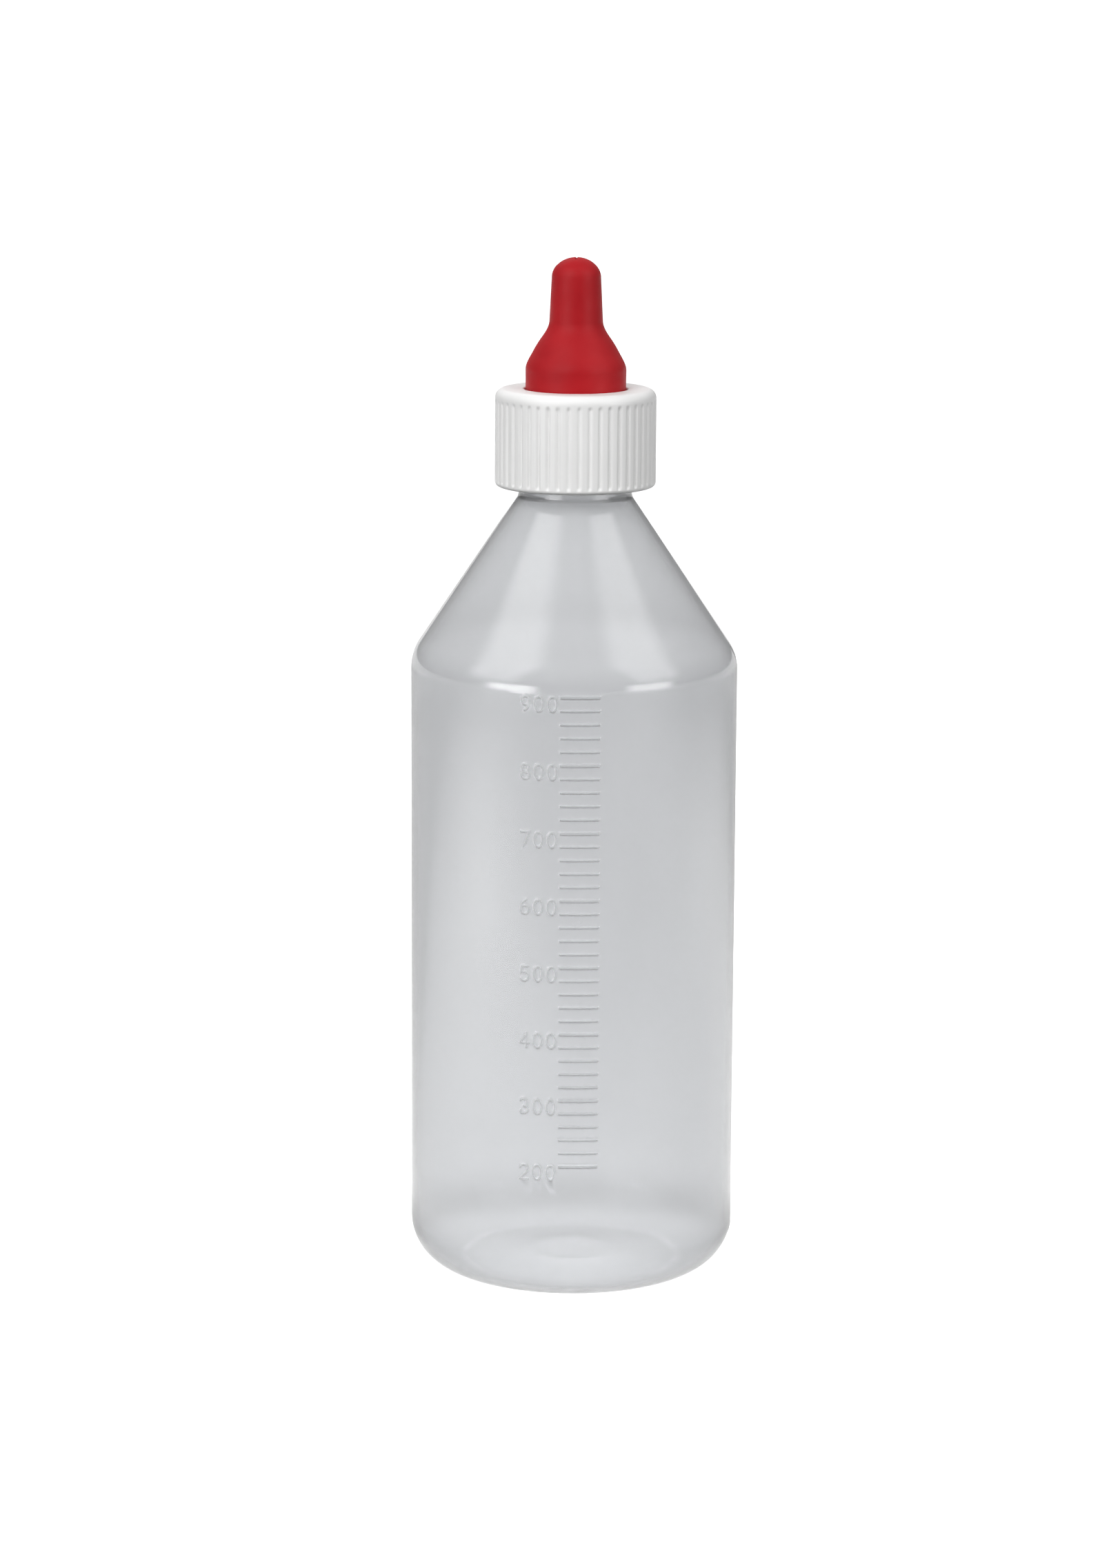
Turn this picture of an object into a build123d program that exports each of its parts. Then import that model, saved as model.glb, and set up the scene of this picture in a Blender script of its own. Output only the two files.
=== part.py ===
"""Calf feeding bottle: a blow-moulded bottle, a ribbed screw ring and a rubber teat.

Frame: +Z up, the origin on the standing surface below the bottle's centre, and the
measuring scale on the front, towards -Y. All lengths are in millimetres.
"""
import math
import os

from build123d import *

# Bottle body and base
body_radius = 43.3
wall = 1.0                    # of the cylinder and the cone, square to the surface
base_corner_radius = 13.0
floor_thickness = 1.2
push_up_radius = 10.0         # the raised middle of the base
push_up_height = 2.0
push_up_blend = 30.0
standing_inner_radius = 27.5  # where the push-up's slope comes down to the surface
standing_blend = 12.0

# Shoulder cone and neck
shoulder_height = 167.0       # where the cylinder and the cone would meet
cone_top_height = 209.2
neck_radius = 15.0
neck_wall = 1.4
shoulder_blend = 12.0
neck_blend = 3.0

# Neck finish, which carries the thread
finish_height = 214.8         # where the finish has reached its full radius
finish_radius = 17.3
mouth_radius = 14.0
rim_height = 233.7
finish_blend = 0.8
rim_blend = 0.6
throat_half_height = 1.0      # of the step from the neck's bore out to the mouth
throat_blend = 2.0

# Thread of neck and ring: one right-hand start
thread_pitch = 4.23
thread_crest_half_width = 0.5
thread_root_half_width = 1.1
neck_thread_turns = 3.2
ring_thread_turns = 2.0
thread_burial = 0.3           # how far a ridge runs into the wall that carries it
neck_thread_bottom = 217.0
neck_crest_radius = 18.5
thread_drop = 1.54            # a ring turn lies this far below the neck turn it pulls on

# Teat
flange_radius = 17.2
flange_thickness = 1.8
bell_radius = 13.2
bell_bore_radius = 11.2
bell_straight_height = 8.6    # above the rim
bell_height = 21.6            # above the rim
bell_insets = (1.9, 4.15)     # of two points on the bell's curve, in from its straight part
bell_rises = (4.7, 8.4)       # of the same points, above the straight part
inner_bell_rises = (4.0, 7.2)
inner_bell_drop = 1.0         # from the outer bell's top down to the inner one's
shank_base_radius = 6.95
shank_tip_radius = 6.4
shank_wall = 2.0
tip_dome_height = 5.3
teat_height = 38.1            # above the rim
tip_thickness = 2.6
feed_cut_length = 4.0
feed_cut_width = 0.3
vent_radius = 0.5
vent_height = 6.6             # above the rim
vent_cut_margin = 1.0         # how far the vent's cut starts and ends clear of the wall

# Screw ring
ring_radius = 21.2
ring_root_radius = 18.9
ring_crest_radius = 17.7
ring_skirt_height = 211.8
ring_plate_thickness = 2.0
ring_hole_radius = 13.6
ring_top_blend = 2.4
ring_bottom_blend = 1.2
ring_bore_blend = 0.4
ring_hole_blend = 0.5
rib_count = 48
rib_groove_width = 1.1
rib_groove_depth = 0.5
rib_bottom_margin = 1.6
rib_top_margin = 2.8

# Measuring scale, raised on the wall: one tick for each 20 ml
scale_first_ml = 200
scale_last_ml = 900
scale_step_ml = 20
scale_label_step_ml = 100
scale_zero_height = 2.5       # the level of an empty bottle, over the push-up's average
tick_length = 10.5
tick_half_height = 0.3
label_tick_half_height = 0.45
tick_relief = 0.3
tick_burial = 0.4

# Worked out from the sizes above
inner_radius = body_radius - wall
cone_slope = (body_radius - neck_radius) / (cone_top_height - shoulder_height)
cone_wall_across = wall * math.hypot(1, cone_slope)
inner_shoulder_height = shoulder_height - (cone_wall_across - wall) / cone_slope
inner_neck_radius = neck_radius - neck_wall
inner_cone_top_height = cone_top_height + (neck_wall - cone_wall_across) / cone_slope
flange_top_height = rim_height + flange_thickness
ring_top_height = flange_top_height + ring_plate_thickness
tip_height = rim_height + teat_height
bell_straight_top = rim_height + bell_straight_height
bell_top = rim_height + bell_height
shank_inner_radius = shank_tip_radius - shank_wall
inner_dome_base = tip_height - tip_thickness - shank_inner_radius
tick_angle = math.degrees(tick_length / body_radius)
ml_per_mm = math.pi * inner_radius**2 / 1000


def scale_height(millilitres):
    """Height of the liquid's surface at a volume."""
    return scale_zero_height + millilitres / ml_per_mm


def thread_ridge(bottom, turns, root_radius, crest_radius):
    """One right-hand trapezoid ridge, buried a little in the wall at its root."""
    depth = crest_radius - root_radius
    buried_radius = root_radius - math.copysign(thread_burial, depth)
    flank = (thread_root_half_width - thread_crest_half_width) / abs(depth)
    buried_half_width = thread_root_half_width + flank * thread_burial
    with BuildPart() as ridge:
        with BuildLine() as path:
            Helix(thread_pitch, thread_pitch * turns, root_radius, (0, 0, bottom))
        with BuildSketch(Plane.XZ):
            with BuildLine():
                Polyline(
                    (buried_radius, bottom - buried_half_width),
                    (crest_radius, bottom - thread_crest_half_width),
                    (crest_radius, bottom + thread_crest_half_width),
                    (buried_radius, bottom + buried_half_width),
                    close=True,
                )
            make_face()
        sweep(path=path.wire(), is_frenet=True)
    return ridge.part


os.makedirs("parts", exist_ok=True)

# --- Bottle: a revolved shell, the neck thread and the raised scale ---
neck_thread = thread_ridge(
    neck_thread_bottom, neck_thread_turns, finish_radius, neck_crest_radius
)

with BuildPart() as bottle:
    with BuildSketch(Plane.XZ):
        with BuildLine():
            outside = FilletPolyline(
                (0, push_up_height),
                (push_up_radius, push_up_height),
                (standing_inner_radius, 0),
                (body_radius, 0),
                (body_radius, shoulder_height),
                (neck_radius, cone_top_height),
                (neck_radius, finish_height - (finish_radius - neck_radius)),
                (finish_radius, finish_height),
                (finish_radius, rim_height),
                (0, rim_height),
                radius=[
                    push_up_blend,
                    standing_blend,
                    base_corner_radius,
                    shoulder_blend,
                    neck_blend,
                    finish_blend,
                    finish_blend,
                    rim_blend,
                ],
            )
            Line(outside @ 1, outside @ 0)
        make_face()
    revolve(axis=Axis.Z)
    with BuildSketch(Plane.XZ):
        with BuildLine():
            inside = FilletPolyline(
                (0, push_up_height + floor_thickness),
                (push_up_radius, push_up_height + floor_thickness),
                (standing_inner_radius, floor_thickness),
                (inner_radius, floor_thickness),
                (inner_radius, inner_shoulder_height),
                (inner_neck_radius, inner_cone_top_height),
                (inner_neck_radius, finish_height - throat_half_height),
                (mouth_radius, finish_height + throat_half_height),
                (mouth_radius, rim_height),
                (0, rim_height),
                radius=[
                    push_up_blend,
                    standing_blend,
                    base_corner_radius - wall,
                    shoulder_blend,
                    neck_blend,
                    throat_blend,
                    throat_blend,
                    0,
                ],
            )
            Line(inside @ 1, inside @ 0)
        make_face()
    revolve(axis=Axis.Z, mode=Mode.SUBTRACT)
    add(neck_thread)
    with BuildSketch(Plane((0, 0, 0), x_dir=(0, -1, 0), z_dir=(-1, 0, 0))):
        for volume in range(scale_first_ml, scale_last_ml + 1, scale_step_ml):
            labelled = volume % scale_label_step_ml == 0
            half_height = label_tick_half_height if labelled else tick_half_height
            with Locations((body_radius - tick_burial, scale_height(volume))):
                Rectangle(
                    tick_burial + tick_relief,
                    2 * half_height,
                    align=(Align.MIN, Align.CENTER),
                )
    revolve(axis=Axis.Z, revolution_arc=tick_angle)
bottle.part.label = "bottle"
export_step(bottle.part, "parts/bottle.step")

# --- Teat: a hollow bell and shank on a flat flange, with a feed cut and a vent ---
with BuildPart() as teat:
    with BuildSketch(Plane.XZ):
        with BuildLine():
            flange_edge = Polyline(
                (0, rim_height),
                (flange_radius, rim_height),
                (flange_radius, flange_top_height),
                (bell_radius, flange_top_height),
                (bell_radius, bell_straight_top),
            )
            # The bell narrows into the shank through one S-shaped curve.
            bell = Spline(
                flange_edge @ 1,
                (bell_radius - bell_insets[0], bell_straight_top + bell_rises[0]),
                (bell_radius - bell_insets[1], bell_straight_top + bell_rises[1]),
                (shank_base_radius, bell_top),
                tangents=[(0, 1), (-0.02, 1)],
            )
            Line(bell @ 1, (shank_tip_radius, tip_height - tip_dome_height))
            dome = EllipticalCenterArc(
                (0, tip_height - tip_dome_height),
                shank_tip_radius,
                tip_dome_height,
                start_angle=0,
                arc_size=90,
            )
            Line(dome @ 1, flange_edge @ 0)
        make_face()
    revolve(axis=Axis.Z)
    with BuildSketch(Plane.XZ):
        with BuildLine():
            bore = Line(
                (bell_bore_radius, rim_height), (bell_bore_radius, bell_straight_top)
            )
            inner_bell = Spline(
                bore @ 1,
                (bell_bore_radius - bell_insets[0], bell_straight_top + inner_bell_rises[0]),
                (bell_bore_radius - bell_insets[1], bell_straight_top + inner_bell_rises[1]),
                (shank_base_radius - shank_wall, bell_top - inner_bell_drop),
                tangents=[(0, 1), (-0.02, 1)],
            )
            Line(inner_bell @ 1, (shank_inner_radius, inner_dome_base))
            inner_dome = CenterArc((0, inner_dome_base), shank_inner_radius, 0, 90)
            Polyline(inner_dome @ 1, (0, rim_height), bore @ 0)
        make_face()
    revolve(axis=Axis.Z, mode=Mode.SUBTRACT)
    with BuildSketch(Plane.XY.offset(tip_height)):
        for angle in (0, 90):
            Rectangle(feed_cut_length, feed_cut_width, rotation=angle)
    extrude(amount=-2 * tip_thickness, mode=Mode.SUBTRACT)
    with BuildSketch(Plane.XZ.offset(-bell_radius - vent_cut_margin)):
        with Locations((0, rim_height + vent_height)):
            Circle(vent_radius)
    extrude(amount=bell_radius - bell_bore_radius + 2 * vent_cut_margin, mode=Mode.SUBTRACT)
teat.part.label = "teat"
export_step(teat.part, "parts/teat.step")

# --- Screw ring: a skirt with vertical ribs, a flat top and the thread inside ---
ring_thread = thread_ridge(
    neck_thread_bottom - thread_drop, ring_thread_turns, ring_root_radius, ring_crest_radius
)

with BuildPart() as screw_ring:
    with BuildSketch(Plane.XZ):
        with BuildLine():
            section = FilletPolyline(
                (ring_hole_radius, flange_top_height),
                (ring_root_radius, flange_top_height),
                (ring_root_radius, ring_skirt_height),
                (ring_radius, ring_skirt_height),
                (ring_radius, ring_top_height),
                (ring_hole_radius, ring_top_height),
                (ring_hole_radius, ring_top_height - ring_plate_thickness / 2),
                radius=[0, ring_bore_blend, ring_bottom_blend, ring_top_blend, ring_hole_blend],
            )
            Line(section @ 1, section @ 0)
        make_face()
    revolve(axis=Axis.Z)
    add(ring_thread)
    with BuildSketch(Plane.XY.offset(ring_skirt_height + rib_bottom_margin)):
        with PolarLocations(ring_radius, rib_count):
            Rectangle(2 * rib_groove_depth, rib_groove_width)
    rib_height = ring_top_height - ring_skirt_height - rib_bottom_margin - rib_top_margin
    extrude(amount=rib_height, mode=Mode.SUBTRACT)
screw_ring.part.label = "screw_ring"
export_step(screw_ring.part, "parts/screw_ring.step")
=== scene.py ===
"""Calf feeding bottle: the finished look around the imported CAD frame.

Every piece is a lathed mesh whose surface carries its own fine relief. The sizes that the
frame knows come from it; the rest are named here, in millimetres, and the meshes are
written in metres. Angles run about +Z from +X, so the front, -Y, is at 270 degrees.
"""

import math

import bpy
import numpy as np
from mathutils import Matrix, Vector


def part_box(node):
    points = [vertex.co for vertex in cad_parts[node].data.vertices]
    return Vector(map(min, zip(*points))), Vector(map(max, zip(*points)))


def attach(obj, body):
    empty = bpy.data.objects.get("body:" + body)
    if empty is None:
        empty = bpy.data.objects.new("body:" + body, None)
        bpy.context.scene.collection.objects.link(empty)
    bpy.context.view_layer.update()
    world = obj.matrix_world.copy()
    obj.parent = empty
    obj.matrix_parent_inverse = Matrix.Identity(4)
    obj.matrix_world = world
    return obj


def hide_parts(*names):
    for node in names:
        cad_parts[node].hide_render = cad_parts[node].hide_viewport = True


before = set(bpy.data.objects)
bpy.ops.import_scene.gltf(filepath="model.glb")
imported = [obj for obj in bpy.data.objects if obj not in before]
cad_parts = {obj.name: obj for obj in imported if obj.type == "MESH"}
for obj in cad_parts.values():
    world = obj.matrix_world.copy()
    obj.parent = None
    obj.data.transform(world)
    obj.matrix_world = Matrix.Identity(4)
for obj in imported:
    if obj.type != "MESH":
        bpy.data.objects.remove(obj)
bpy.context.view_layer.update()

MM = 0.001
FRONT = 1.5 * math.pi
BACK = 0.5 * math.pi


def node_box(name):
    """A CAD node's lowest and highest corners, in millimetres."""
    low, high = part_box(name)
    return low / MM, high / MM


bottle_high = node_box("bottle")[1]
ring_low, ring_high = node_box("screw_ring")
teat_high = node_box("teat")[1]

# --- Bottle sizes ---
BODY_RADIUS = bottle_high.x
RIM_HEIGHT = bottle_high.z
WALL = 1.0
BASE_CORNER = 13.0
BASE_WALL = 1.2
PUSH_UP_RADIUS = 10.0
PUSH_UP_HEIGHT = 2.0
PUSH_UP_BLEND = 30.0
STANDING_INNER_RADIUS = 27.5
STANDING_BLEND = 12.0
SHOULDER_HEIGHT = 167.0
SHOULDER_BLEND = 12.0
CONE_TOP = 209.2
NECK_RADIUS = 15.0
NECK_WALL = 1.4
NECK_BLEND = 3.0
FINISH_HEIGHT = 214.8
FINISH_RADIUS = 17.3
MOUTH_RADIUS = 14.0
FINISH_BLEND = 0.8
RIM_BLEND = 0.6
THROAT_BLEND = 2.0
THROAT_HALF_HEIGHT = 1.0       # of the step from the mouth's bore to the neck's
WAVE_DEPTH = 0.035
SEAM_RIDGE = 0.12
SEAM_BOTTOM = 4.0
SEAM_TOP = 207.0

# --- Thread ---
PITCH = 4.23
CREST_HALF = 0.5
ROOT_HALF = 1.1
THREAD_EASE = 0.1              # rounding added beyond the root and into the crest
THREAD_RUN_OUT = math.radians(35)
NECK_THREAD_BOTTOM = 217.0
NECK_THREAD_TURNS = 3.2
NECK_THREAD_DEPTH = 1.2
RING_THREAD_BOTTOM = 215.46
RING_THREAD_TURNS = 2.0
RING_THREAD_DEPTH = 1.2

# --- Ring sizes ---
RING_RADIUS = ring_high.x
RING_BORE = 18.9
RING_HOLE = 13.6
PLATE = 2.0
RING_TOP_BLEND = 2.4
RING_BOTTOM_BLEND = 1.2
RING_BORE_BLEND = 0.4
RING_HOLE_BLEND = 0.5
RING_INNER_BLEND = 0.3
RING_SKIN = 1.3                # how far in from the outside the grooves are applied
RIBS = 48
RIB_DEPTH = 0.55
GROOVE_SHARE = 0.42            # of the way from a groove's middle to a rib's, in wave height
GROOVE_BOTTOM = 0.9            # above the ring's lower face
GROOVE_TOP = 2.6               # below its upper face
COLUMNS_PER_RIB = 10

# --- Teat sizes ---
TIP_HEIGHT = teat_high.z
FLANGE_RADIUS = teat_high.x
FLANGE = 1.8
BELL_RADIUS = 13.2
BELL_BORE = 11.2
BELL_STRAIGHT_TOP = RIM_HEIGHT + 8.6
BELL_TOP = RIM_HEIGHT + 21.6
SHANK_BASE_RADIUS = 6.95
SHANK_TIP_RADIUS = 6.4
SHANK_WALL = 2.0
DOME = 5.3
TIP_WALL = 2.6
BELL_INSETS = (1.9, 4.15)
BELL_RISES = (4.7, 8.4)
INNER_BELL_RISES = (4.0, 7.2)
INNER_BELL_DROP = 1.0
BELL_SLOPES = [(0, 1), (-0.52, 1), (-0.72, 1), (-0.02, 1)]
SLIT_DEPTH = 0.45
SLIT_HALF = 0.32
SLIT_REACH = 2.3               # from the middle of the tip to the end of each arm
TEAT_SEAM_RIDGE = 0.09
TEAT_SEAM_HALF = 0.6
VENT_HEIGHT = RIM_HEIGHT + 6.6
VENT_BOSS_HEIGHT = 0.25
VENT_BOSS_RADIUS = 2.0
VENT_DEPTH = 0.7
VENT_RADIUS = 0.75
TEAT_COLUMNS = 144

# --- Measuring scale: one tick for each 20 ml, a number for each 100 ml ---
SCALE_ML = range(200, 901, 20)
LABEL_STEP_ML = 100
SCALE_ZERO = 2.5
ML_PER_MM = math.pi * (BODY_RADIUS - WALL) ** 2 / 1000
TICK_LENGTH = 10.5
TICK_HALF = 0.3
LABEL_TICK_HALF = 0.45
TICK_BLEND = 0.36
RELIEF = 0.3


# ---------------------------------------------------------------- profiles
def smooth(x):
    """0 to 1 with level ends."""
    x = np.clip(x, 0, 1)
    return x * x * (3 - 2 * x)


def rounded(corners, radii, arc_step=0.25):
    """Points along a polyline with its inner corners rounded; arc_step is in radians."""
    pts = [np.array(c, float) for c in corners]
    out = [pts[0]]
    for before, at, after, radius in zip(pts, pts[1:], pts[2:], radii):
        if radius == 0:
            out.append(at)
            continue
        u = (before - at) / np.linalg.norm(before - at)
        v = (after - at) / np.linalg.norm(after - at)
        half = math.acos(np.clip(u @ v, -1, 1)) / 2
        middle = (u + v) / np.linalg.norm(u + v)
        centre = at + middle * radius / math.sin(half)
        start = at + u * radius / math.tan(half) - centre
        end = at + v * radius / math.tan(half) - centre
        turn = math.pi - 2 * half
        count = max(3, math.ceil(turn / arc_step))
        for i in range(count + 1):
            t = i / count
            out.append(
                centre
                + (math.sin((1 - t) * turn) * start + math.sin(t * turn) * end) / math.sin(turn)
            )
    out.append(pts[-1])
    return out


def spaced(points, step, low=-math.inf, high=math.inf):
    """Points added so that, between two heights, none are further apart than step."""
    out = [points[0]]
    for a, b in zip(points, points[1:]):
        inside = min(a[1], b[1]) < high and max(a[1], b[1]) > low
        count = max(1, math.ceil(np.linalg.norm(b - a) / step)) if inside else 1
        out += [a + (b - a) * i / count for i in range(1, count + 1)]
    return out


def hermite(points, slopes, count=10):
    """A smooth curve through points, with a direction of travel at each."""
    out = []
    for a, b, da, db in zip(points, points[1:], slopes, slopes[1:]):
        a, b, da, db = (np.array(v, float) for v in (a, b, da, db))
        reach = np.linalg.norm(b - a)
        da, db = da / np.linalg.norm(da) * reach, db / np.linalg.norm(db) * reach
        for i in range(count):
            t = i / count
            out.append(
                (2 * t**3 - 3 * t**2 + 1) * a
                + (t**3 - 2 * t**2 + t) * da
                + (3 * t**2 - 2 * t**3) * b
                + (t**3 - t**2) * db
            )
    return out + [np.array(points[-1], float)]


def thread_relief(theta, z, bottom, turns, depth):
    """Height of a right-hand ridge that starts at +X and whose ends run out smoothly."""
    first = np.mod(theta, 2 * math.pi)
    relief = np.zeros_like(z)
    for lap in range(math.ceil(turns)):
        angle = first + 2 * math.pi * lap
        offset = np.abs(z - bottom - PITCH * angle / (2 * math.pi))
        flank = ROOT_HALF - CREST_HALF + 2 * THREAD_EASE
        ridge = smooth((ROOT_HALF + THREAD_EASE - offset) / flank)
        end = 2 * math.pi * turns
        fade = smooth(angle / THREAD_RUN_OUT) * smooth((end - angle) / THREAD_RUN_OUT)
        relief = np.maximum(relief, depth * ridge * fade)
    return relief


# ---------------------------------------------------------------- meshes
def make_object(name, points, faces, material, raised=None):
    """A smooth-shaded mesh object from points in millimetres.

    raised, from 0 to 1 for each point, is kept with the mesh for its material to read.
    """
    mesh = bpy.data.meshes.new(name)
    used = np.unique(np.fromiter((i for f in faces for i in f), int))
    place = np.full(len(points), -1)
    place[used] = np.arange(len(used))
    mesh.from_pydata(
        (np.asarray(points)[used] * MM).tolist(), [], [[int(place[i]) for i in f] for f in faces]
    )
    if raised is not None:
        kept = mesh.attributes.new("raised", "FLOAT", "POINT")
        kept.data.foreach_set("value", raised[used].astype(np.float32))
    mesh.validate()
    mesh.polygons.foreach_set("use_smooth", [True] * len(mesh.polygons))
    mesh.materials.append(material)
    obj = bpy.data.objects.new(name, mesh)
    bpy.context.scene.collection.objects.link(obj)
    return obj


def turned(radius, theta, z):
    """Points from cylinder coordinates."""
    return np.stack([radius * np.cos(theta), radius * np.sin(theta), z + 0 * theta], -1)


def from_parting_line(theta):
    """Angle to the nearer of the two parting lines, which are at +X and -X."""
    return np.abs(np.mod(theta + math.pi / 2, math.pi) - math.pi / 2)


class Lathe:
    """A closed grid of rows round the axis. A row at radius 0 is a pole."""

    def __init__(self, profile, columns, shape):
        self.angles = np.asarray(columns)
        self.rows = [np.asarray(p, float) for p in profile]
        self.count = len(self.angles)
        self.shape = shape
        self.between = {}
        radius = np.array([p[0] for p in self.rows])[:, None]
        z = np.array([p[1] for p in self.rows])[:, None]
        theta = self.angles[None, :]
        shaped_radius, shaped_z = shape(np.arange(len(self.rows))[:, None], radius, theta, z)
        self.points = turned(shaped_radius, theta + 0 * shaped_radius, shaped_z + 0 * theta)
        self.points = self.points.reshape(-1, 3)
        self.raised = np.zeros(len(self.points))

    def index(self, row, column):
        """The point at a row and column; a pole has one point for all its columns."""
        column = 0 if self.rows[row][0] == 0 else column % self.count
        return row * self.count + column

    def faces(self, skip=None):
        """Faces between all rows, outward, with any extra points along a shared edge."""
        made = []
        wraps = np.linalg.norm(self.rows[0] - self.rows[-1]) > 1e-9 and self.rows[0][0] > 0
        last = len(self.rows) if wraps else len(self.rows) - 1
        for row in range(last):
            after = (row + 1) % len(self.rows)
            for column in range(self.count):
                if skip and skip(row, column):
                    continue
                loop = [
                    self.index(row, column),
                    self.index(row, column + 1),
                    self.index(after, column + 1),
                    self.index(after, column),
                ]
                corners = [p for i, p in enumerate(loop) if p != loop[i - 1]]
                face = []
                for a, b in zip(corners, corners[1:] + corners[:1]):
                    face += [a, *self.between.get((a, b), ())]
                made.append(face)
        return made

    def refine(self, first_row, last_row, first_column, last_column, down, across, relief):
        """A finer patch over a block of rows and columns, sewn to the grid at its edges."""
        theta_lines = np.unwrap(self.angles[np.arange(first_column, last_column + 1) % self.count])
        z_lines = np.array([self.rows[r][1] for r in range(first_row, last_row + 1)])
        fine_theta = subdivided(theta_lines, across)
        fine_z = subdivided(z_lines, down)
        theta, z = np.meshgrid(fine_theta, fine_z)
        radius = np.full_like(theta, self.rows[first_row][0])
        row_number = np.full_like(theta, first_row)
        radius, z = self.shape(row_number, radius, theta, z)
        start = len(self.points)
        height = relief(theta, z)
        new = turned(radius + height, theta, z).reshape(-1, 3)
        self.points = np.concatenate([self.points, new])
        self.raised = np.concatenate([self.raised, height.ravel() / height.max()])
        number = np.arange(start, start + len(new)).reshape(theta.shape)
        for r in range(last_row - first_row + 1):
            for c in range(last_column - first_column + 1):
                edge = r in (0, last_row - first_row) or c in (0, last_column - first_column)
                if edge:
                    coarse = self.index(first_row + r, first_column + c)
                    number[r * down, c * across] = coarse
        for line, step in (
            (number[0], across), (number[-1], across), (number[:, 0], down), (number[:, -1], down)
        ):
            for i in range(0, len(line) - 1, step):
                a, b = int(line[i]), int(line[i + step])
                inner = [int(n) for n in line[i + 1 : i + step]]
                self.between[(a, b)] = inner
                self.between[(b, a)] = inner[::-1]
        return [
            [
                int(number[r, c]), int(number[r, c + 1]),
                int(number[r + 1, c + 1]), int(number[r + 1, c]),
            ]
            for r in range(number.shape[0] - 1)
            for c in range(number.shape[1] - 1)
        ]


def even_columns(count):
    """Angles of evenly spaced columns round the axis."""
    return 2 * math.pi * np.arange(count) / count


def subdivided(lines, count):
    """Each gap between lines cut into count equal steps."""
    steps = np.arange(count) / count
    fine = (lines[:-1, None] + np.diff(lines)[:, None] * steps).ravel()
    return np.append(fine, lines[-1])


# ---------------------------------------------------------------- the scale's numbers
def bow(cx, cy, rx, ry, start, end, count=14):
    """Points of an elliptical arc, in a cell 1 wide and 1.6 tall."""
    angles = np.radians(np.linspace(start, end, count))
    return [(cx + rx * math.cos(a), cy + ry * math.sin(a)) for a in angles]


DIGITS = {
    "0": [bow(0.5, 0.8, 0.4, 0.72, 0, 360, 24)],
    "1": [[(0.25, 1.22), (0.58, 1.52), (0.58, 0.08)]],
    "2": [bow(0.5, 1.1, 0.38, 0.42, 165, -35) + [(0.1, 0.08), (0.92, 0.08)]],
    "3": [bow(0.46, 1.15, 0.36, 0.37, 150, -90), bow(0.46, 0.43, 0.42, 0.35, 90, -150)],
    "4": [[(0.7, 0.08), (0.7, 1.52), (0.08, 0.5), (0.95, 0.5)]],
    "5": [[(0.85, 1.52), (0.22, 1.52), (0.16, 0.88)] + bow(0.46, 0.52, 0.42, 0.44, 130, -145)],
    "6": [bow(0.5, 0.5, 0.4, 0.42, 0, 360, 20), bow(0.98, 0.55, 0.88, 0.97, 178, 112)],
    "7": [[(0.08, 1.52), (0.92, 1.52), (0.38, 0.08)]],
    "8": [bow(0.5, 1.15, 0.35, 0.37, 0, 360, 20), bow(0.5, 0.43, 0.41, 0.35, 0, 360, 20)],
    "9": [bow(0.5, 1.1, 0.4, 0.42, 0, 360, 20), bow(0.02, 1.05, 0.88, 0.97, -2, -68)],
}
CELL_HEIGHT = 1.6              # of a digit, in digit widths
DIGIT_WIDTH = 2.7
DIGIT_GAP = 0.85
NUMBER_MARGIN = 0.51           # from the number's last digit to the front line
DIGIT_DROP = 1.8               # from a tick down to the middle of its number
STROKE_HALF = 0.3
STROKE_BLEND = 0.22


def stroke_distance(x, y, strokes):
    """Distance from each point to the nearest stroke."""
    nearest = np.full(x.shape, 1e9)
    for stroke in strokes:
        for (ax, ay), (bx, by) in zip(stroke, stroke[1:]):
            dx, dy = bx - ax, by - ay
            t = np.clip(((x - ax) * dx + (y - ay) * dy) / (dx * dx + dy * dy), 0, 1)
            nearest = np.minimum(nearest, np.hypot(x - ax - t * dx, y - ay - t * dy))
    return nearest


def scale_height(millilitres):
    """Height of the liquid's surface at a volume."""
    return SCALE_ZERO + millilitres / ML_PER_MM


def scale_relief(theta, z):
    """The raised ticks, right of the front line, and the numbers, left of it."""
    across = (theta - FRONT) * BODY_RADIUS
    relief = np.zeros_like(z)
    for volume in SCALE_ML:
        labelled = volume % LABEL_STEP_ML == 0
        half = LABEL_TICK_HALF if labelled else TICK_HALF
        level = scale_height(volume)
        beyond = np.maximum(
            np.abs(z - level) - half, np.abs(across - TICK_LENGTH / 2) - TICK_LENGTH / 2
        )
        relief = np.maximum(relief, RELIEF * smooth(0.5 - beyond / TICK_BLEND))
        if not labelled:
            continue
        near = np.abs(z - level + DIGIT_DROP) < DIGIT_WIDTH
        x, y = across[near], z[near] - level + DIGIT_DROP + CELL_HEIGHT / 2 * DIGIT_WIDTH
        left = -3 * DIGIT_WIDTH - 2 * DIGIT_GAP - NUMBER_MARGIN
        distance = np.full(x.shape, 1e9)
        for place, digit in enumerate(str(volume)):
            start = left + place * (DIGIT_WIDTH + DIGIT_GAP)
            strokes = [
                [(start + px * DIGIT_WIDTH, py * DIGIT_WIDTH) for px, py in stroke]
                for stroke in DIGITS[digit]
            ]
            distance = np.minimum(distance, stroke_distance(x, y, strokes))
        raised = RELIEF * smooth(0.5 - (distance - STROKE_HALF) / STROKE_BLEND)
        relief[near] = np.maximum(relief[near], raised)
    return relief


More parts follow.
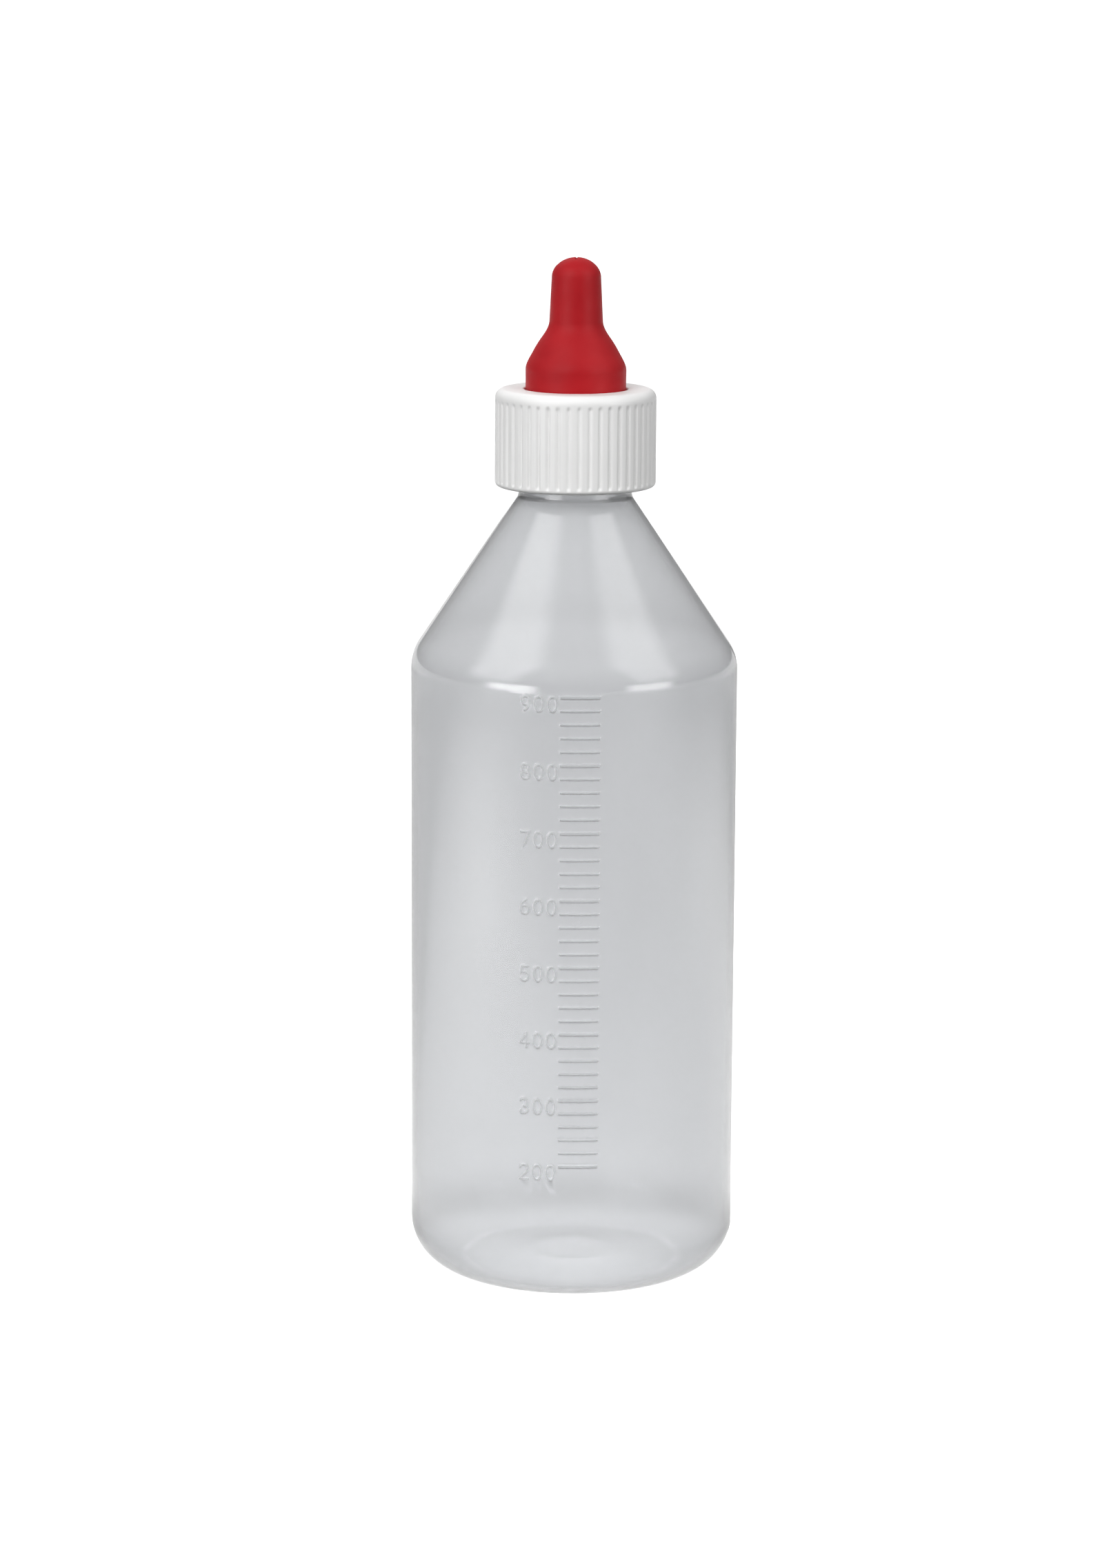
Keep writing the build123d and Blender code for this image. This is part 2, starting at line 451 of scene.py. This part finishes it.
# ---------------------------------------------------------------- materials
def new_material(name, values):
    """A material, its Principled shader with its constant sockets set, and its nodes."""
    material = bpy.data.materials.new(name)
    material.use_nodes = True
    tree = material.node_tree
    shader = tree.nodes["Principled BSDF"]
    for socket, value in values.items():
        shader.inputs[socket].default_value = value
    return material, tree, shader


def noise(tree, scale, detail=3.0, stretch=(1, 1, 1)):
    """A noise texture over the piece's own coordinates, in metres."""
    place = tree.nodes.new("ShaderNodeTexCoord")
    mapping = tree.nodes.new("ShaderNodeMapping")
    mapping.inputs["Scale"].default_value = stretch
    texture = tree.nodes.new("ShaderNodeTexNoise")
    texture.inputs["Scale"].default_value = scale
    texture.inputs["Detail"].default_value = detail
    tree.links.new(place.outputs["Object"], mapping.inputs["Vector"])
    tree.links.new(mapping.outputs["Vector"], texture.inputs["Vector"])
    return texture.outputs["Fac"]


def ramp(tree, factor, low, high, low_value, high_value):
    """A colour ramp between two colours, or a range between two numbers."""
    if isinstance(low_value, tuple):
        node = tree.nodes.new("ShaderNodeValToRGB")
        node.color_ramp.elements[0].position = low
        node.color_ramp.elements[1].position = high
        node.color_ramp.elements[0].color = (*low_value, 1)
        node.color_ramp.elements[1].color = (*high_value, 1)
        tree.links.new(factor, node.inputs["Fac"])
        return node.outputs["Color"]
    node = tree.nodes.new("ShaderNodeMapRange")
    for socket, value in (
        ("From Min", low), ("From Max", high), ("To Min", low_value), ("To Max", high_value)
    ):
        node.inputs[socket].default_value = value
    tree.links.new(factor, node.inputs["Value"])
    return node.outputs["Result"]


def bump(tree, shader, height, strength, distance):
    """Fine grain that is too small to be geometry."""
    node = tree.nodes.new("ShaderNodeBump")
    node.inputs["Strength"].default_value = strength
    node.inputs["Distance"].default_value = distance
    tree.links.new(height, node.inputs["Height"])
    tree.links.new(node.outputs["Normal"], shader.inputs["Normal"])


def bottle_plastic():
    """Natural polyethylene: clear but hazy, satin, faintly uneven. Lamps shine through it.

    The scale's marks, which the mesh names in its raised values, are matt and a little dark.
    """
    material, tree, shader = new_material(
        "bottle_polyethylene", {"IOR": 1.5, "Transmission Weight": 0.8}
    )
    cloud = noise(tree, 22, 2.0, (1, 1, 0.35))
    colour = ramp(tree, cloud, 0.3, 0.7, (0.875, 0.885, 0.9), (0.915, 0.925, 0.94))
    marks = tree.nodes.new("ShaderNodeAttribute")
    marks.attribute_name = "raised"
    tint = tree.nodes.new("ShaderNodeVectorMath")
    tint.operation = "SCALE"
    tree.links.new(colour, tint.inputs["Vector"])
    tree.links.new(ramp(tree, marks.outputs["Fac"], 0, 1, 1.0, 0.88), tint.inputs["Scale"])
    tree.links.new(tint.outputs["Vector"], shader.inputs["Base Color"])
    haze = ramp(tree, noise(tree, 60, 3.0, (1, 1, 0.5)), 0.3, 0.7, 0.09, 0.13)
    matt = tree.nodes.new("ShaderNodeMath")
    matt.operation = "ADD"
    tree.links.new(haze, matt.inputs[0])
    tree.links.new(ramp(tree, marks.outputs["Fac"], 0, 1, 0.0, 0.2), matt.inputs[1])
    tree.links.new(matt.outputs["Value"], shader.inputs["Roughness"])
    bump(tree, shader, noise(tree, 110, 1.0), 0.02, 0.0003)
    lets_through = tree.nodes.new("ShaderNodeBsdfTransparent")
    lets_through.inputs["Color"].default_value = (0.9, 0.9, 0.9, 1)
    path = tree.nodes.new("ShaderNodeLightPath")
    either = tree.nodes.new("ShaderNodeMath")
    either.operation = "MAXIMUM"
    tree.links.new(path.outputs["Is Shadow Ray"], either.inputs[0])
    tree.links.new(path.outputs["Is Diffuse Ray"], either.inputs[1])
    mix = tree.nodes.new("ShaderNodeMixShader")
    tree.links.new(either.outputs["Value"], mix.inputs["Fac"])
    tree.links.new(shader.outputs["BSDF"], mix.inputs[1])
    tree.links.new(lets_through.outputs["BSDF"], mix.inputs[2])
    output = tree.nodes["Material Output"]
    tree.links.new(mix.outputs["Shader"], output.inputs["Surface"])
    absorbs = tree.nodes.new("ShaderNodeVolumeAbsorption")
    absorbs.inputs["Color"].default_value = (0.3, 0.3, 0.3, 1)
    absorbs.inputs["Density"].default_value = 45
    tree.links.new(absorbs.outputs["Volume"], output.inputs["Volume"])
    return material


def ring_plastic():
    """White polypropylene: opaque, satin, with a fine moulded grain."""
    material, tree, shader = new_material("ring_polypropylene", {"IOR": 1.49})
    cloud = noise(tree, 45, 2.0)
    colour = ramp(tree, cloud, 0.3, 0.7, (0.86, 0.86, 0.855), (0.91, 0.91, 0.905))
    tree.links.new(colour, shader.inputs["Base Color"])
    tree.links.new(ramp(tree, noise(tree, 160), 0.3, 0.7, 0.36, 0.46), shader.inputs["Roughness"])
    bump(tree, shader, noise(tree, 1800, 2.0), 0.08, 0.0001)
    return material


def teat_rubber():
    """Red natural rubber: soft satin, slightly cloudy, with a fine bloom."""
    material, tree, shader = new_material(
        "teat_rubber", {"IOR": 1.5, "Specular IOR Level": 0.14}
    )
    cloud = noise(tree, 70, 3.0)
    colour = ramp(tree, cloud, 0.3, 0.7, (0.37, 0.006, 0.011), (0.45, 0.011, 0.016))
    tree.links.new(colour, shader.inputs["Base Color"])
    tree.links.new(ramp(tree, noise(tree, 240), 0.3, 0.7, 0.42, 0.54), shader.inputs["Roughness"])
    bump(tree, shader, noise(tree, 1500, 3.0), 0.12, 0.00015)
    return material


# ---------------------------------------------------------------- the bottle
COLUMNS = 128
SEAM_STEP = math.radians(0.35)
# The window is the finer patch of wall that carries the scale.
WINDOW_COLUMNS = 6             # each side of the front
WINDOW_BOTTOM = 34.0
WINDOW_TOP = 163.3
WALL_STEP = 4.4                # longest step between rows of the window
CONE_STEP = 4.0
THREAD_STEP = 0.26
INNER_STEP = 12.0              # longest step between rows of the inside
INNER_ROWS = (20.0, 200.0)     # heights between which that step holds
RIM_MARGIN = 0.7               # the thread's rows stop this far below the rim


def bottle_columns():
    """Even columns, with a few more at the two parting lines on the sides."""
    extra = [side + k * SEAM_STEP for side in (0, math.pi) for k in (-2, -1, 1, 2)]
    return np.sort(np.mod(np.concatenate([even_columns(COLUMNS), extra]), 2 * math.pi))


def waviness(theta, z):
    """The slight unevenness of a blown wall, always inward of the true size."""
    waves = (
        np.sin(2 * theta + z / 23 + 0.6)
        + 0.7 * np.sin(3 * theta - z / 31 + 2.1)
        + 0.6 * np.sin(z / 11.5 + 1.3 * np.sin(theta + 0.8))
        + 0.5 * np.sin(5 * theta + z / 17 + 4.0)
    )
    crest = 2.8                # all four waves at their highest
    return -WAVE_DEPTH * (crest - waves) / crest


def bottle_outside():
    """The bottle's outer profile, from the middle of its base up to the rim."""
    outside = rounded(
        [
            (0, PUSH_UP_HEIGHT),
            (PUSH_UP_RADIUS, PUSH_UP_HEIGHT),
            (STANDING_INNER_RADIUS, 0),
            (BODY_RADIUS, 0),
            (BODY_RADIUS, WINDOW_BOTTOM),
            (BODY_RADIUS, WINDOW_TOP),
            (BODY_RADIUS, SHOULDER_HEIGHT),
            (NECK_RADIUS, CONE_TOP),
            (NECK_RADIUS, FINISH_HEIGHT - (FINISH_RADIUS - NECK_RADIUS)),
            (FINISH_RADIUS, FINISH_HEIGHT),
            (FINISH_RADIUS, RIM_HEIGHT),
            (MOUTH_RADIUS, RIM_HEIGHT),
        ],
        [
            PUSH_UP_BLEND, STANDING_BLEND, BASE_CORNER, 0, 0, SHOULDER_BLEND,
            NECK_BLEND, FINISH_BLEND, FINISH_BLEND, RIM_BLEND, RIM_BLEND,
        ],
        0.14,
    )
    outside = spaced(outside, WALL_STEP, WINDOW_BOTTOM - 1, WINDOW_TOP + 1)
    outside = spaced(outside, CONE_STEP, SHOULDER_HEIGHT - 2, CONE_TOP)
    return spaced(outside, THREAD_STEP, FINISH_HEIGHT, RIM_HEIGHT - RIM_MARGIN)[:-1]


def bottle_inside():
    """The bottle's inner profile, from the mouth down to the middle of its base."""
    inner_radius = BODY_RADIUS - WALL
    slope = (BODY_RADIUS - NECK_RADIUS) / (CONE_TOP - SHOULDER_HEIGHT)
    across = WALL * math.hypot(1, slope)
    inner_neck = NECK_RADIUS - NECK_WALL
    inside = rounded(
        [
            (MOUTH_RADIUS, RIM_HEIGHT - RIM_BLEND),
            (MOUTH_RADIUS, FINISH_HEIGHT + THROAT_HALF_HEIGHT),
            (inner_neck, FINISH_HEIGHT - THROAT_HALF_HEIGHT),
            (inner_neck, CONE_TOP + (NECK_WALL - across) / slope),
            (inner_radius, SHOULDER_HEIGHT - (across - WALL) / slope),
            (inner_radius, BASE_WALL),
            (STANDING_INNER_RADIUS, BASE_WALL),
            (PUSH_UP_RADIUS, PUSH_UP_HEIGHT + BASE_WALL),
            (0, PUSH_UP_HEIGHT + BASE_WALL),
        ],
        [
            THROAT_BLEND, THROAT_BLEND, NECK_BLEND, SHOULDER_BLEND, BASE_CORNER - WALL,
            STANDING_BLEND, PUSH_UP_BLEND,
        ],
        0.18,
    )
    return spaced(inside, INNER_STEP, *INNER_ROWS)


def build_bottle():
    """The blown body, its scale on a finer window of the wall, its neck with the thread."""
    outside = bottle_outside()
    outer_rows = len(outside)

    def shape(row, radius, theta, z):
        body = (row < outer_rows) & (radius > 30) & (z > 1)
        fade = smooth((z - 3) / 15) * smooth((SHOULDER_HEIGHT + 25 - z) / 15)
        moved = radius + np.where(body, waviness(theta, z) * fade, 0)
        line = smooth(1 - from_parting_line(theta) / (2 * SEAM_STEP))
        ends = smooth((z - SEAM_BOTTOM) / 6) * smooth((SEAM_TOP - z) / 4)
        moved = moved + np.where(row < outer_rows, SEAM_RIDGE * line * ends, 0)
        moved = np.where(radius > BODY_RADIUS - 1, np.minimum(moved, BODY_RADIUS), moved)
        finish = (row < outer_rows) & (z > FINISH_HEIGHT) & (z < RIM_HEIGHT - RIM_MARGIN)
        ridge = thread_relief(
            theta + 0 * z, z + 0 * theta, NECK_THREAD_BOTTOM, NECK_THREAD_TURNS, NECK_THREAD_DEPTH
        )
        return moved + np.where(finish, ridge, 0), z

    lathe = Lathe(outside + bottle_inside(), bottle_columns(), shape)
    heights = [p[1] for p in outside]
    radii = [p[0] for p in outside]
    on_wall = [i for i, r in enumerate(radii) if abs(r - BODY_RADIUS) < 1e-6]
    first_row = min(on_wall, key=lambda i: abs(heights[i] - WINDOW_BOTTOM))
    last_row = min(on_wall, key=lambda i: abs(heights[i] - WINDOW_TOP))
    middle = int(np.argmin(np.abs(lathe.angles - FRONT)))
    first_column, last_column = middle - WINDOW_COLUMNS, middle + WINDOW_COLUMNS
    patch = lathe.refine(
        first_row, last_row, first_column, last_column, down=18, across=9, relief=scale_relief
    )
    rest = lathe.faces(
        lambda row, column: first_row <= row < last_row and first_column <= column < last_column
    )
    material = bottle_plastic()
    piece = make_object("bottle_shell", lathe.points, rest + patch, material, lathe.raised)
    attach(piece, "bottle")
    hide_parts("bottle")
    return piece


# ---------------------------------------------------------------- the screw ring
def build_ring():
    """The screw ring: outer ribs, a thread in its bore and a hole for the teat."""
    top = ring_high.z
    bottom = ring_low.z
    flange_top = top - PLATE
    section = rounded(
        [
            (RING_HOLE, flange_top + PLATE / 2),
            (RING_HOLE, flange_top),
            (RING_BORE, flange_top),
            (RING_BORE, bottom),
            (RING_RADIUS, bottom),
            (RING_RADIUS, top),
            (RING_HOLE, top),
            (RING_HOLE, flange_top + PLATE / 2 + 0.1),
        ],
        [
            RING_INNER_BLEND, RING_INNER_BLEND, RING_BORE_BLEND,
            RING_BOTTOM_BLEND, RING_TOP_BLEND, RING_HOLE_BLEND,
        ],
        0.2,
    )
    section = spaced(section, 0.3, bottom + 1, flange_top - 0.5)
    outer_start = next(i for i, p in enumerate(section) if p[0] > RING_RADIUS - 1e-6)

    def shape(row, radius, theta, z):
        wave = 0.5 - 0.5 * np.cos(RIBS * theta)
        groove = 1 - smooth(wave / GROOVE_SHARE)
        rise = smooth(z - bottom - GROOVE_BOTTOM) * smooth((top - GROOVE_TOP - z) / 1.2)
        outer = (row >= outer_start) & (radius > RING_RADIUS - RING_SKIN)
        moved = radius - np.where(outer, RIB_DEPTH * groove * rise, 0)
        bore = (np.abs(radius - RING_BORE) < 1e-6) & (z < flange_top - 0.5) & (z > bottom + 0.5)
        ridge = thread_relief(
            theta + 0 * z, z + 0 * theta, RING_THREAD_BOTTOM, RING_THREAD_TURNS, RING_THREAD_DEPTH
        )
        return moved - np.where(bore, ridge, 0), z

    lathe = Lathe(section, even_columns(RIBS * COLUMNS_PER_RIB), shape)
    piece = make_object("screw_ring_body", lathe.points, lathe.faces(), ring_plastic())
    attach(piece, "screw_ring")
    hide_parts("screw_ring")
    return piece


# ---------------------------------------------------------------- the teat
def bell_points(radius, rises, top_radius, top_height):
    """The points that the bell's curve passes through, from its straight part up."""
    between = [(radius - i, BELL_STRAIGHT_TOP + r) for i, r in zip(BELL_INSETS, rises)]
    return [(radius, BELL_STRAIGHT_TOP), *between, (top_radius, top_height)]


def build_teat():
    """The hollow rubber teat, with its feed cut, parting lines and vent as relief."""
    flange_top = RIM_HEIGHT + FLANGE
    bell = hermite(
        bell_points(BELL_RADIUS, BELL_RISES, SHANK_BASE_RADIUS, BELL_TOP), BELL_SLOPES, 12
    )
    dome_base = TIP_HEIGHT - DOME
    dome = [
        np.array([SHANK_TIP_RADIUS * math.cos(a), dome_base + DOME * math.sin(a)])
        for a in np.linspace(0, math.pi / 2, 26)[:-1]
    ]
    inner_radius = SHANK_TIP_RADIUS - SHANK_WALL
    inner_base = TIP_HEIGHT - TIP_WALL - inner_radius
    inner_dome = [
        np.array([inner_radius * math.sin(a), inner_base + inner_radius * math.cos(a)])
        for a in np.linspace(0, math.pi / 2, 12)[1:]
    ]
    inner_points = bell_points(
        BELL_BORE, INNER_BELL_RISES, SHANK_BASE_RADIUS - SHANK_WALL, BELL_TOP - INNER_BELL_DROP
    )
    inner_bell = hermite(inner_points[::-1], [(-x, -y) for x, y in BELL_SLOPES[::-1]], 8)
    foot = rounded(
        [
            (BELL_BORE, RIM_HEIGHT + 0.5),
            (BELL_BORE, RIM_HEIGHT),
            (FLANGE_RADIUS, RIM_HEIGHT),
            (FLANGE_RADIUS, flange_top),
            (BELL_RADIUS, flange_top),
            (BELL_RADIUS, BELL_STRAIGHT_TOP - 0.1),
        ],
        [0.3, 0.5, 0.5, 0.15],
    )
    shank = spaced([bell[-1], dome[0]], 1.2)[1:-1]
    outer = foot + bell + shank + dome + [np.array([0, TIP_HEIGHT])]
    inner = [np.array([0, TIP_HEIGHT - TIP_WALL])] + inner_dome + inner_bell
    outer_rows = len(outer)

    def shape(row, radius, theta, z):
        outside = row < outer_rows
        arm = np.abs(np.mod(theta + math.pi / 4, math.pi / 2) - math.pi / 4)
        off_slit = radius * np.sin(arm)
        slit = smooth(1 - off_slit / SLIT_HALF) * smooth((SLIT_REACH - radius) / 0.5)
        at_tip = outside & (z > TIP_HEIGHT - 1.5)
        lowered = z - np.where(at_tip, SLIT_DEPTH * slit, 0)
        seam = from_parting_line(theta) * radius
        line = smooth(1 - seam / TEAT_SEAM_HALF) * smooth((z - flange_top - 3) / 2)
        on_side = outside & (z > flange_top + 2) & (z < TIP_HEIGHT - 2)
        from_vent = np.hypot((theta - BACK) * BELL_RADIUS, z - VENT_HEIGHT)
        boss = VENT_BOSS_HEIGHT * smooth((VENT_BOSS_RADIUS - from_vent) / 0.6)
        hole = VENT_DEPTH * smooth((VENT_RADIUS - from_vent) / 0.4)
        at_vent = outside & (z < BELL_STRAIGHT_TOP + 1) & (z > flange_top + 1)
        raised = np.where(on_side, TEAT_SEAM_RIDGE * line, 0) + np.where(at_vent, boss - hole, 0)
        return radius + raised, lowered

    lathe = Lathe(outer + inner, even_columns(TEAT_COLUMNS), shape)
    piece = make_object("teat_rubber_body", lathe.points, lathe.faces(), teat_rubber())
    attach(piece, "teat")
    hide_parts("teat")
    return piece


# ---------------------------------------------------------------- stage, light and camera
CAMERA_DISTANCE = 1.2          # level, from the bottle's axis
CAMERA_HEIGHT = 0.367
CAMERA_AZIMUTH = math.radians(4.8)
CAMERA_ROLL = math.radians(0.3)
AIM = (-0.0036, 0.1316)        # sideways and height of the aim point at the axis
LENS = 105.18
SENSOR = 36.0


def make_camera():
    """A long lens above the shoulder's height, looking a little down."""
    data = bpy.data.cameras.new("camera")
    data.lens = LENS
    data.sensor_width = SENSOR
    camera = bpy.data.objects.new("camera", data)
    bpy.context.scene.collection.objects.link(camera)
    turn = Matrix.Rotation(CAMERA_AZIMUTH, 4, "Z")
    location = turn @ Vector((0, -CAMERA_DISTANCE, CAMERA_HEIGHT))
    target = turn @ Vector((AIM[0], 0, AIM[1]))
    look = (target - location).to_track_quat("-Z", "Y").to_matrix().to_4x4()
    camera.matrix_world = (
        Matrix.Translation(location) @ look @ Matrix.Rotation(CAMERA_ROLL, 4, "Z")
    )
    bpy.context.scene.camera = camera


# Painted light on the floor, which the bottle mirrors and shows through itself while the camera
# sees the floor plain: distance from its axis in metres, strength. It is bright under the bottle
# and has a painted shadow ring at about 0.05 to 0.07 m, which shows through the base as a dark arc.
# It grows brighter again far out.
FLOOR_GLOW = [
    (0.0, 1.25), (0.013, 1.32), (0.026, 1.3), (0.034, 0.82), (0.044, 0.66), (0.055, 0.3),
    (0.068, 0.32), (0.09, 0.68), (0.17, 0.53), (0.31, 0.35), (0.48, 0.27), (0.9, 0.22),
    (1.05, 0.22), (1.3, 0.5), (1.6, 0.65),
]
FLOOR_GLOW_REACH = 1.6
# Painted bright patches on the floor, which the body mirrors as painted highlights: bearing from
# the camera in degrees, strength.
FLOOR_HIGHLIGHT_PATCHES = [(-66, 2.3), (98, 1.1)]
FLOOR_PATCH_DISTANCE = 0.55
FLOOR_PATCH_FADE = (0.05, 0.5)      # metres from the patch's middle
FLOOR_EXTENT = 40
FLOOR_WHITE = 0.95


def distance_from(tree, place, point):
    """Distance in metres of the shaded place from a point."""
    apart = tree.nodes.new("ShaderNodeVectorMath")
    apart.operation = "DISTANCE"
    apart.inputs[1].default_value = point
    tree.links.new(place.outputs["Position"], apart.inputs[0])
    return apart.outputs["Value"]


def make_floor():
    """A wide floor, plain near-white to the camera and clear from below. The bottle shows most of
    it close by, as a painted glow with a painted shadow ring and painted highlight patches.
    """
    bpy.ops.mesh.primitive_circle_add(vertices=96, radius=FLOOR_EXTENT, fill_type="NGON")
    floor = bpy.context.object
    floor.name = "floor"
    material, tree, shader = new_material(
        "floor_paint",
        {
            "Base Color": (0.5, 0.5, 0.5, 1),
            "Roughness": 0.9,
            "Specular IOR Level": 0.0,
            "Emission Color": (1, 1, 1, 1),
        },
    )
    place = tree.nodes.new("ShaderNodeNewGeometry")
    # Painted light by distance from the bottle's axis, with its painted shadow ring.
    lit = tree.nodes.new("ShaderNodeValToRGB")
    stops = lit.color_ramp.elements
    for _ in range(len(FLOOR_GLOW) - len(stops)):
        stops.new(1.0)
    for stop, (radius, strength) in zip(stops, FLOOR_GLOW):
        stop.position = radius / FLOOR_GLOW_REACH
        stop.color = (strength, strength, strength, 1)
    away = ramp(tree, distance_from(tree, place, (0, 0, 0)), 0, FLOOR_GLOW_REACH, 0, 1)
    tree.links.new(away, lit.inputs["Fac"])
    glow = lit.outputs["Color"]
    # Painted highlight patches, added to the painted glow for the body to mirror.
    for bearing, strength in FLOOR_HIGHLIGHT_PATCHES:
        turn = CAMERA_AZIMUTH + math.radians(bearing)
        middle = FLOOR_PATCH_DISTANCE * Vector((math.sin(turn), -math.cos(turn), 0))
        patch = ramp(tree, distance_from(tree, place, middle), *FLOOR_PATCH_FADE, strength, 0.0)
        both = tree.nodes.new("ShaderNodeMath")
        tree.links.new(glow, both.inputs[0])
        tree.links.new(patch, both.inputs[1])
        glow = both.outputs["Value"]
    # The camera sees the floor evenly white; every other ray sees the painted glow.
    path = tree.nodes.new("ShaderNodeLightPath")
    choice = tree.nodes.new("ShaderNodeMix")
    tree.links.new(path.outputs["Is Camera Ray"], choice.inputs["Factor"])
    tree.links.new(glow, choice.inputs["A"])
    choice.inputs["B"].default_value = FLOOR_WHITE
    tree.links.new(choice.outputs["Result"], shader.inputs["Emission Strength"])
    underside = tree.nodes.new("ShaderNodeBsdfTransparent")
    sides = tree.nodes.new("ShaderNodeMixShader")
    tree.links.new(place.outputs["Backfacing"], sides.inputs["Fac"])
    tree.links.new(shader.outputs["BSDF"], sides.inputs[1])
    tree.links.new(underside.outputs["BSDF"], sides.inputs[2])
    tree.links.new(sides.outputs["Shader"], tree.nodes["Material Output"].inputs["Surface"])
    material.cycles.emission_sampling = "NONE"
    floor.data.materials.append(material)
    floor.visible_diffuse = False


# Each light's bearing from the camera and height angle in degrees, its size in metres, its
# radiance, and what it lights.
SOFTBOXES = {
    "key_gloss": (-61, 38, (1.05, 1.4), 2.1, "gloss"),
    "fill_gloss": (62, 38, (0.95, 1.4), 1.7, "gloss"),
    "low_key_gloss": (-44, 3, (0.95, 0.3), 6.5, "gloss"),
    "low_fill_gloss": (54, 3, (0.9, 0.3), 4.6, "gloss"),
    "key_colour": (-32, 36, (0.9, 0.9), 5.6, "colour"),
    "fill_colour": (48, 30, (0.7, 0.9), 3.0, "colour"),
    "back_colour": (195, 38, (0.9, 0.9), 3.0, "colour"),
}
SOFTBOX_DISTANCE = 1.1         # metres from the middle of the shoulder
SOFT_EDGE = 0.3                # share of a light's width over which each edge fades


def softbox(name, bearing, elevation, size, radiance, on):
    """A soft-edged rectangular light.

    It lights what is named: "gloss", which is its mirror image in a surface, or "colour".
    """
    turn = CAMERA_AZIMUTH + math.radians(bearing)
    level = SOFTBOX_DISTANCE * math.cos(math.radians(elevation))
    rise = Vector((0, 0, SOFTBOX_DISTANCE * math.sin(math.radians(elevation))))
    middle = Vector((0, 0, SHOULDER_HEIGHT * MM))
    data = bpy.data.lights.new(name, "AREA")
    data.shape = "RECTANGLE"
    data.size, data.size_y = size
    data.energy = radiance * math.pi * size[0] * size[1]
    data.use_nodes = True
    tree = data.node_tree
    place = tree.nodes.new("ShaderNodeNewGeometry")
    split = tree.nodes.new("ShaderNodeSeparateXYZ")
    tree.links.new(place.outputs["Parametric"], split.inputs["Vector"])
    edges = tree.nodes.new("ShaderNodeMath")
    edges.operation = "MULTIPLY"
    for axis, socket in (("X", edges.inputs[0]), ("Y", edges.inputs[1])):
        off = tree.nodes.new("ShaderNodeMath")
        off.operation = "PINGPONG"
        off.inputs[1].default_value = 0.5
        tree.links.new(split.outputs[axis], off.inputs[0])
        soft = ramp(tree, off.outputs["Value"], 0.0, SOFT_EDGE, 0.0, 1.0)
        soft.node.interpolation_type = "SMOOTHSTEP"
        tree.links.new(soft, socket)
    tree.links.new(edges.outputs["Value"], tree.nodes["Emission"].inputs["Strength"])
    light = bpy.data.objects.new(name, data)
    light.location = middle + rise + level * Vector((math.sin(turn), -math.cos(turn), 0))
    light.visible_camera = False
    light.visible_diffuse = on == "colour"
    light.visible_glossy = light.visible_transmission = on == "gloss"
    light.rotation_mode = "QUATERNION"
    light.rotation_quaternion = (middle - light.location).to_track_quat("-Z", "Y")
    bpy.context.scene.collection.objects.link(light)


# Strength of the sky at the horizon and overhead, and where overhead begins (sine of height).
SKY_LEVELS = (0.2, 0.6)
SKY_OVERHEAD = 0.8


def make_world():
    """Plain white surroundings, which light the bottle more from overhead than from the horizon."""
    world = bpy.data.worlds.new("studio")
    bpy.context.scene.world = world
    world.use_nodes = True
    tree = world.node_tree
    place = tree.nodes.new("ShaderNodeTexCoord")
    split = tree.nodes.new("ShaderNodeSeparateXYZ")
    tree.links.new(place.outputs["Generated"], split.inputs["Vector"])
    strength = ramp(tree, split.outputs["Z"], 0.0, SKY_OVERHEAD, *SKY_LEVELS)
    background = tree.nodes["Background"]
    background.inputs["Color"].default_value = (1, 1, 1, 1)
    path = tree.nodes.new("ShaderNodeLightPath")
    choice = tree.nodes.new("ShaderNodeMix")
    tree.links.new(path.outputs["Is Camera Ray"], choice.inputs["Factor"])
    tree.links.new(strength, choice.inputs["A"])
    choice.inputs["B"].default_value = 1.0
    tree.links.new(choice.outputs["Result"], background.inputs["Strength"])


make_camera()
build_bottle()
build_ring()
build_teat()
make_floor()
make_world()
for name, values in SOFTBOXES.items():
    softbox(name, *values)
bpy.context.scene.view_settings.view_transform = "Standard"
